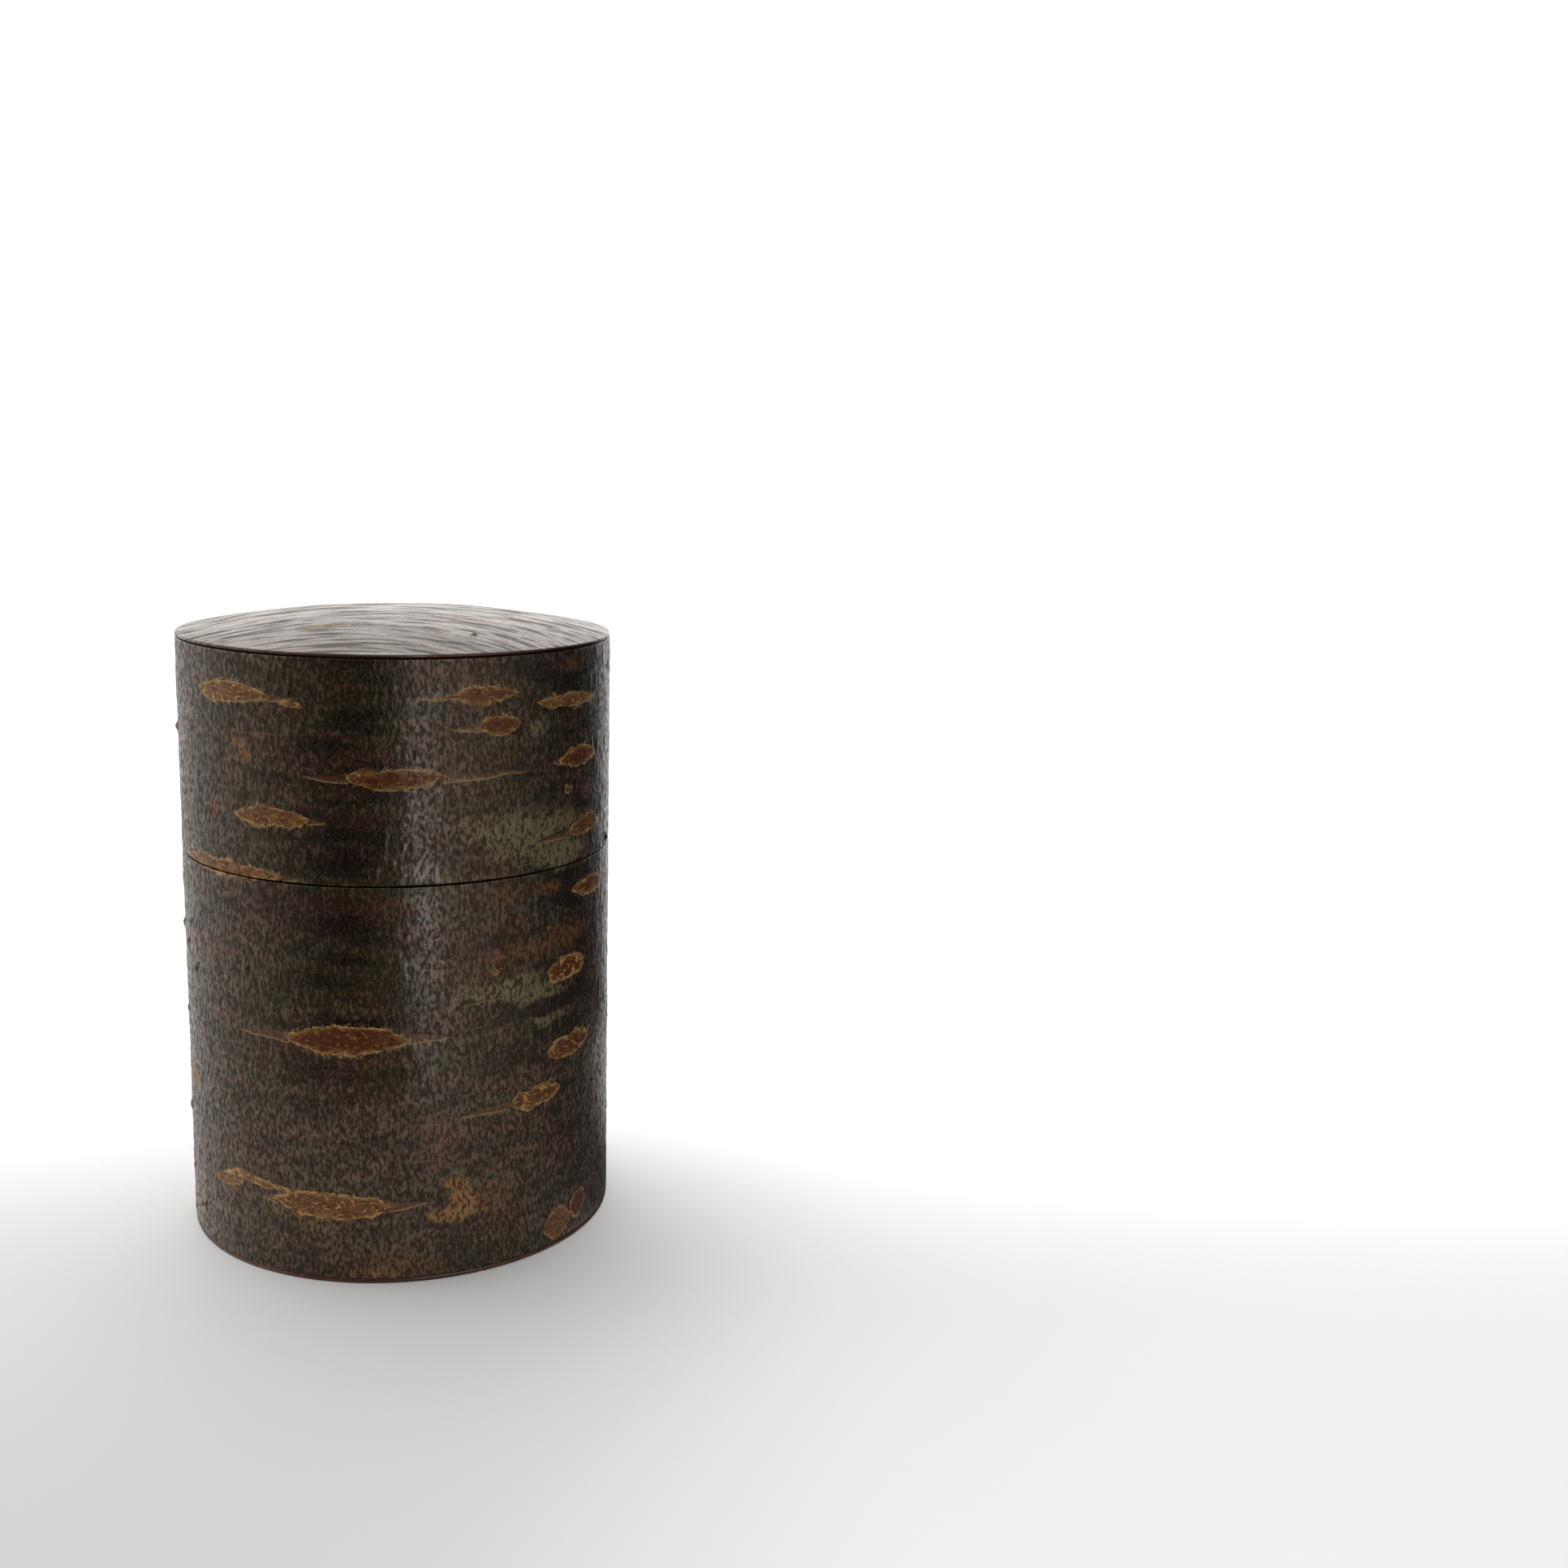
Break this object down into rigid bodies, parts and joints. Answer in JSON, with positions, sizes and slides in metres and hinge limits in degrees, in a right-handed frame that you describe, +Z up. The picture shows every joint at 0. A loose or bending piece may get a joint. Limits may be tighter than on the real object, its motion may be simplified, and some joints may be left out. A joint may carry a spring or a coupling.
{
  "type": "tea caddy",
  "caption": "Round tea caddy of rolled wood clad in cherry bark, with a lift-off outer lid and a knobbed inner lid that closes its inner tube.",
  "frame": {"origin": "centre of the underside", "axes": "+Z up along the caddy's axis, -Y towards the front"},
  "size_m": [0.082, 0.082, 0.1202],
  "materials": {
    "frosted_bark": "wild cherry bark with its crepe wrinkles kept, grey-brown with tan and rust lenticels, waxed to a satin gloss",
    "top_bark": "scraped cherry bark polished to a gloss, pale grey-brown with long fine streaks",
    "thin_bark": "scraped cherry bark polished to a red-brown gloss, with fine lenticel lines",
    "core_wood": "plain thin-rolled light wood, unfinished",
    "stacked_bark": "glued stack of bark turned and polished, with fine layer lines"
  },
  "bodies": {
    "caddy": {"base_bark": "frosted_bark", "base_board": "core_wood", "floor_bark": "thin_bark", "body_bark_sleeve": "frosted_bark", "body_core": "core_wood", "body_core_lining": "thin_bark", "body_shoulder_ring": "thin_bark", "inner_tube_bark": "thin_bark", "inner_tube_core": "core_wood", "inner_tube_lining": "thin_bark", "neck_rim_ring": "thin_bark"},
    "inner_lid": {"inner_lid_board": "core_wood", "inner_lid_top_bark": "thin_bark", "inner_lid_under_bark": "thin_bark", "inner_lid_edge_band": "thin_bark", "inner_lid_skirt_core": "core_wood", "inner_lid_skirt_bark": "thin_bark", "inner_lid_skirt_lining": "thin_bark", "inner_lid_skirt_edge": "thin_bark", "inner_lid_knob": "stacked_bark"},
    "lid": {"lid_bark_sleeve": "frosted_bark", "lid_core": "core_wood", "lid_core_lining": "thin_bark", "lid_edge_ring": "thin_bark", "lid_top_board": "core_wood", "lid_top_bark": "top_bark", "lid_ceiling_bark": "thin_bark"}
  },
  "joints": [
    {"name": "inner_lid_lift", "type": "slide", "parent": "caddy", "child": "inner_lid", "axis": [0, 0, 1], "range_m": [0, 0.04]},
    {"name": "lid_lift", "type": "slide", "parent": "inner_lid", "child": "lid", "axis": [0, 0, 1], "range_m": [0, 0.06]}
  ]
}
